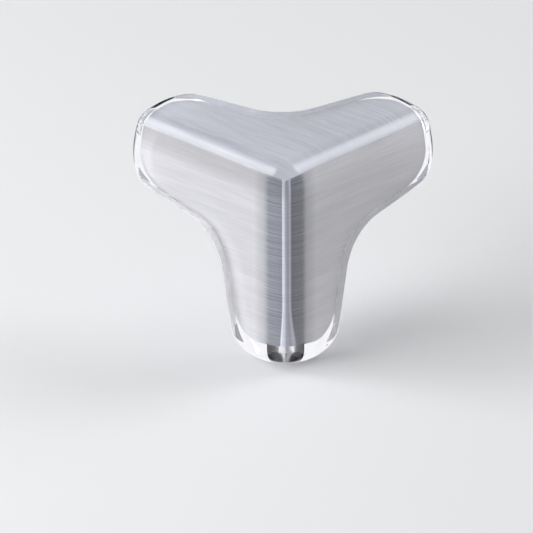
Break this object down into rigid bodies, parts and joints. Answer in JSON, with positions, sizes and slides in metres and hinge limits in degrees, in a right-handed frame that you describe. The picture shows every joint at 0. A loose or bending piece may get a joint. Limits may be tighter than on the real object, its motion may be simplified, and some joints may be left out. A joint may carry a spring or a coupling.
{
  "type": "furniture corner protector",
  "caption": "Clear soft corner guard: rounded panels meet at a right-angled corner and run out as arms along the furniture's edges.",
  "frame": {"origin": "the furniture's own corner point, where the guard's three inner faces meet", "axes": "the arms run along +X, +Y and -Z, the furniture fills x > 0, y > 0, z < 0, and +Z points out of the furniture's top face"},
  "size_m": [0.0572, 0.0572, 0.0572],
  "materials": {
    "clear_pvc": "clear, glossy, moulded soft PVC with a faint lavender-grey cast"
  },
  "bodies": {
    "root": {"corner_guard": "clear_pvc"}
  },
  "joints": []
}
